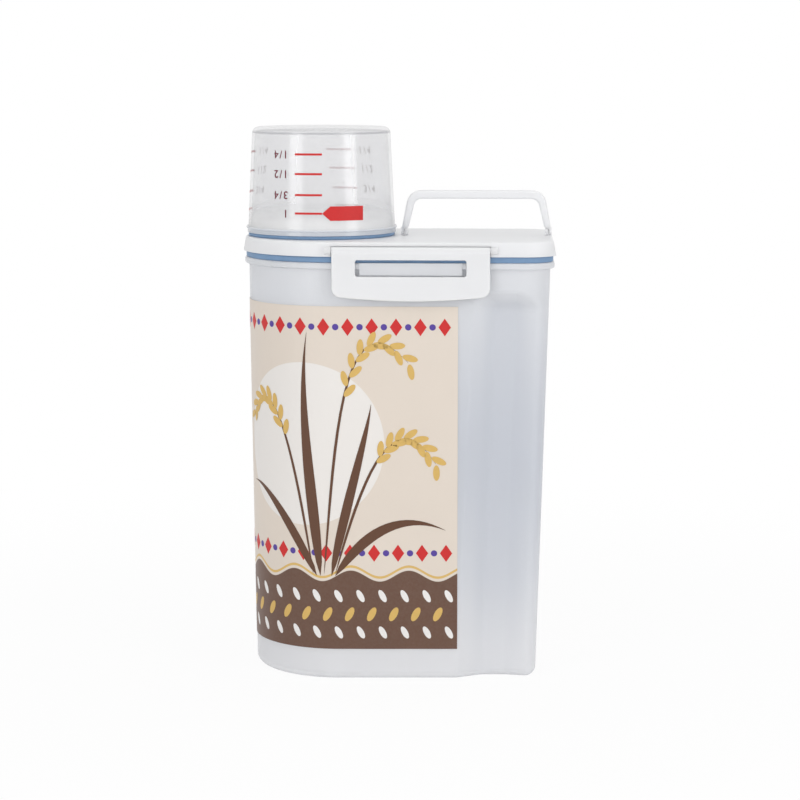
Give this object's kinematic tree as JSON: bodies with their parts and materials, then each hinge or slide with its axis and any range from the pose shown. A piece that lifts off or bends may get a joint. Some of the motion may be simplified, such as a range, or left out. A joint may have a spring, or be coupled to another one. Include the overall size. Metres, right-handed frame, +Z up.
{
  "type": "rice storage bin",
  "caption": "Narrow translucent grain bin with a latched lid, sealed pouring collar under an upturned measuring cup, folding bail handle and side grip recesses.",
  "frame": {"origin": "middle of the bounding box's underside, on the surface the bin stands on", "axes": "+Z up; +X towards the square end under the handle, the pouring end is -X; -Y is the side facing the camera in the picture"},
  "size_m": [0.1688, 0.1106, 0.2944],
  "materials": {
    "frosted_body": "frosted translucent moulded plastic, satin",
    "label_film": null,
    "white_plastic": "white moulded plastic, soft gloss",
    "seal_rubber": "dark blue moulded elastomer, satin",
    "clear_cup": "clear, slightly hazy moulded plastic"
  },
  "bodies": {
    "bin": {"container": "frosted_body", "label": "label_film"},
    "lid": {"lid": "white_plastic", "lid_gasket": "seal_rubber", "spout_gasket": "seal_rubber"},
    "cup": {"measuring_cup": "clear_cup"},
    "front_latch": {"front_latch": "white_plastic"},
    "rear_latch": {"rear_latch": "white_plastic"},
    "handle": {"handle": "white_plastic"}
  },
  "joints": [
    {"name": "lid_lift", "type": "slide", "parent": "bin", "child": "lid", "axis": [0, 0, 1], "range_m": [0, 0.12]},
    {"name": "cup_lift", "type": "slide", "parent": "lid", "child": "cup", "axis": [0, 0, 1], "range_m": [0, 0.08]},
    {"name": "handle_fold", "type": "hinge", "parent": "lid", "child": "handle", "pos_m": [0.042, 0, 0.2383], "axis": [1, 0, 0], "range_deg": [-75, 75]},
    {"name": "front_latch_swing", "type": "hinge", "parent": "lid", "child": "front_latch", "pos_m": [0.00825, -0.0527, 0.2315], "axis": [-1, 0, 0], "range_deg": [-5, 100]},
    {"name": "rear_latch_swing", "type": "hinge", "parent": "lid", "child": "rear_latch", "pos_m": [0.00825, 0.0527, 0.2315], "axis": [1, 0, 0], "range_deg": [-5, 100]}
  ]
}
